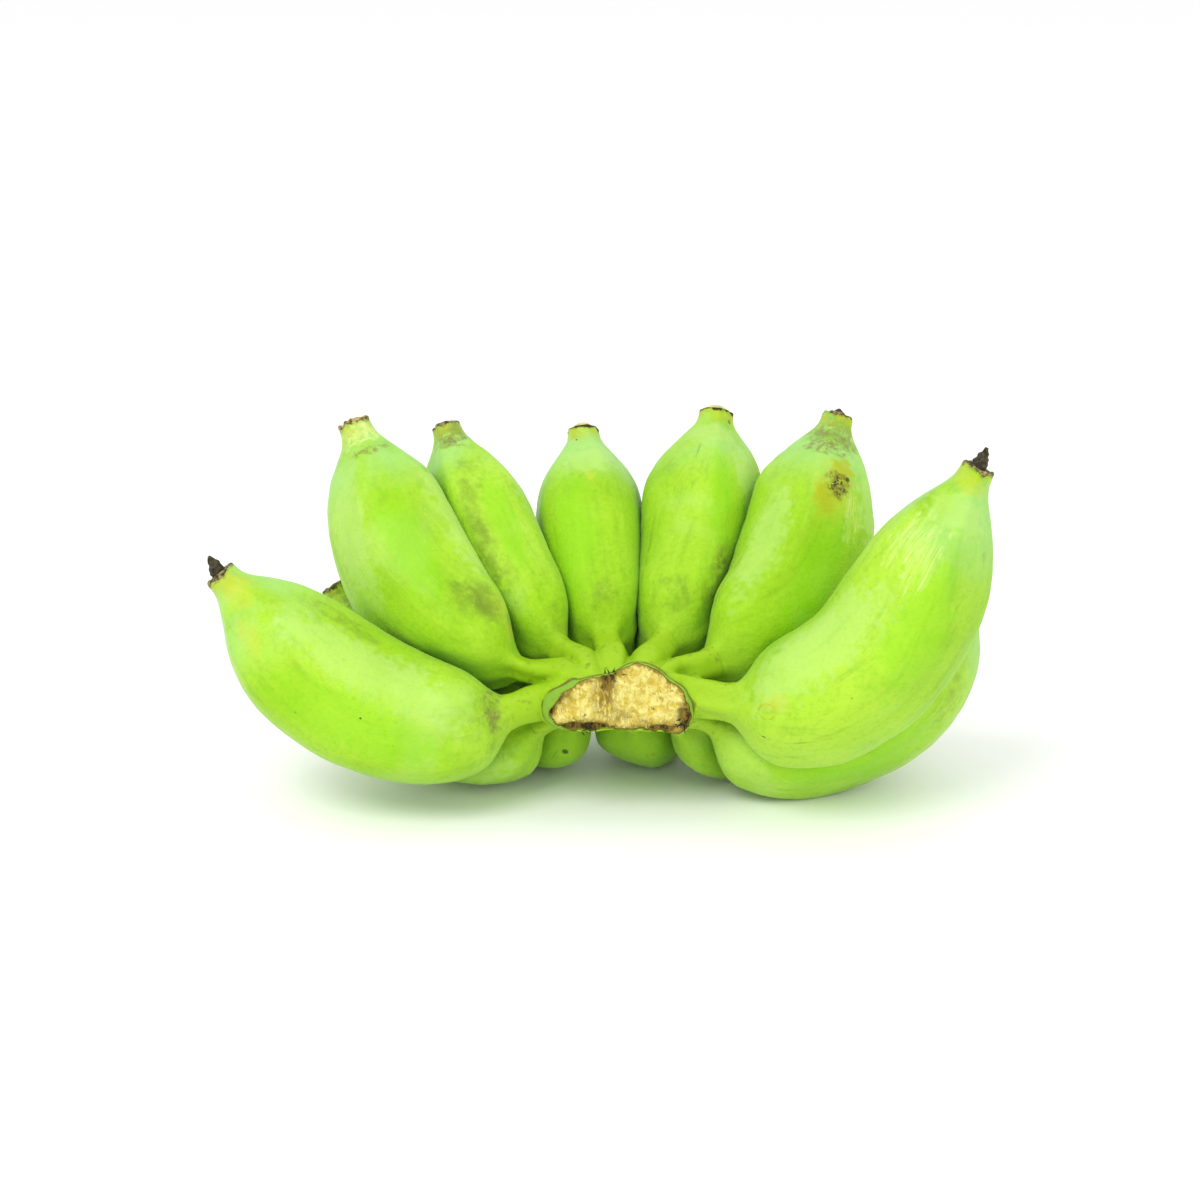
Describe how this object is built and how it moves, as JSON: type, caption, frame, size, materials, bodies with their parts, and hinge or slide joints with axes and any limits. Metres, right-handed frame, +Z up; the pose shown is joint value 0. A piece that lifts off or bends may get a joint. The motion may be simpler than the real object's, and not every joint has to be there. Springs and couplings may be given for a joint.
{
  "type": "bunch of bananas",
  "caption": "Hand of short, plump green bananas in two rows that fan out from one cut crown and curve upwards, lying on its lower row.",
  "frame": {"origin": "centre of the bounding box in X and Y, on the surface the hand lies on", "axes": "+X along the length of the fan, +Y away from the cut face of the crown, +Z up; the cut face of the crown faces -Y"},
  "size_m": [0.2462, 0.1322, 0.1222],
  "materials": {
    "green_peel": "satin, waxy",
    "crown_flesh": "fibrous, dry, stained brown",
    "dried_flower_end": "dry, matt"
  },
  "bodies": {
    "root": {"crown": "crown_flesh", "finger_upper_1": "green_peel", "finger_upper_2": "green_peel", "finger_upper_3": "green_peel", "finger_upper_4": "green_peel", "finger_upper_5": "green_peel", "finger_upper_6": "green_peel", "finger_upper_7": "green_peel", "finger_lower_1": "green_peel", "finger_lower_2": "green_peel", "finger_lower_3": "green_peel", "finger_lower_4": "green_peel", "finger_lower_5": "green_peel", "dried_style_upper_1": "dried_flower_end", "dried_style_upper_6": "dried_flower_end", "dried_style_upper_7": "dried_flower_end"}
  },
  "joints": []
}
